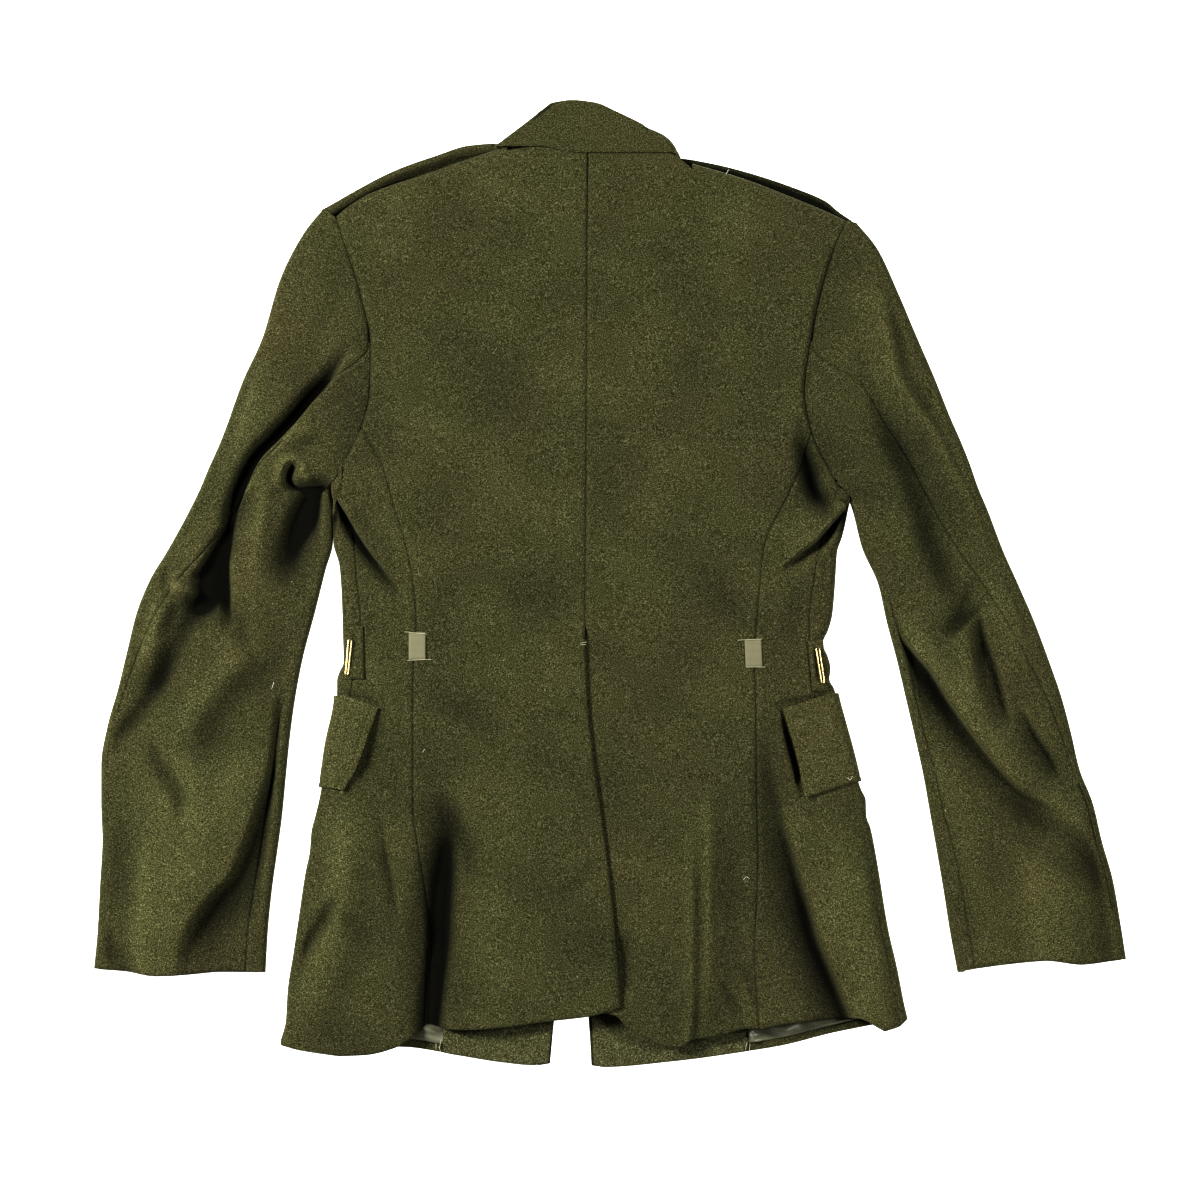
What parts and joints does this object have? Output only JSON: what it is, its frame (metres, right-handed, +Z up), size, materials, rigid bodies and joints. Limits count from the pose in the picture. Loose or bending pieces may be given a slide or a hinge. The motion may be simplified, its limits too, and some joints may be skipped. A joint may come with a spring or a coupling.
{
  "type": "military dress tunic",
  "caption": "Olive wool service dress tunic, buttoned and laid flat on its front, with back vent, shoulder straps, pocket flaps, ribbon belt loops and brass belt hooks.",
  "frame": {"origin": "centre of the tunic's outline, on the surface that it lies on", "axes": "+X towards the wearer's right sleeve, +Y towards the collar, +Z up from the surface, through the back of the tunic"},
  "size_m": [0.866, 0.811, 0.0221],
  "materials": {
    "wool": "melange olive wool serge, matt, with a soft nap",
    "lining": "olive satin lining, soft sheen",
    "ribbon": "light olive woven ribbon",
    "brass": "polished brass"
  },
  "bodies": {
    "root": {"back_left": "wool", "back_right": "wool", "side_left": "wool", "side_right": "wool", "front_left": "wool", "front_right": "wool", "facing_left": "wool", "facing_right": "wool", "lapel_left": "wool", "lapel_right": "wool", "collar": "wool", "top_sleeve_left": "wool", "top_sleeve_right": "wool", "under_sleeve_left": "wool", "under_sleeve_right": "wool", "shoulder_strap_left": "wool", "shoulder_strap_right": "wool", "pocket_flap_left": "wool", "pocket_flap_right": "wool", "hook_patch_left": "wool", "hook_patch_right": "wool", "lining_left": "lining", "lining_right": "lining", "belt_loop_left": "ribbon", "belt_loop_right": "ribbon", "belt_hook_left": "brass", "belt_hook_right": "brass", "button_1": "brass", "button_2": "brass", "button_3": "brass", "button_4": "brass"}
  },
  "joints": []
}
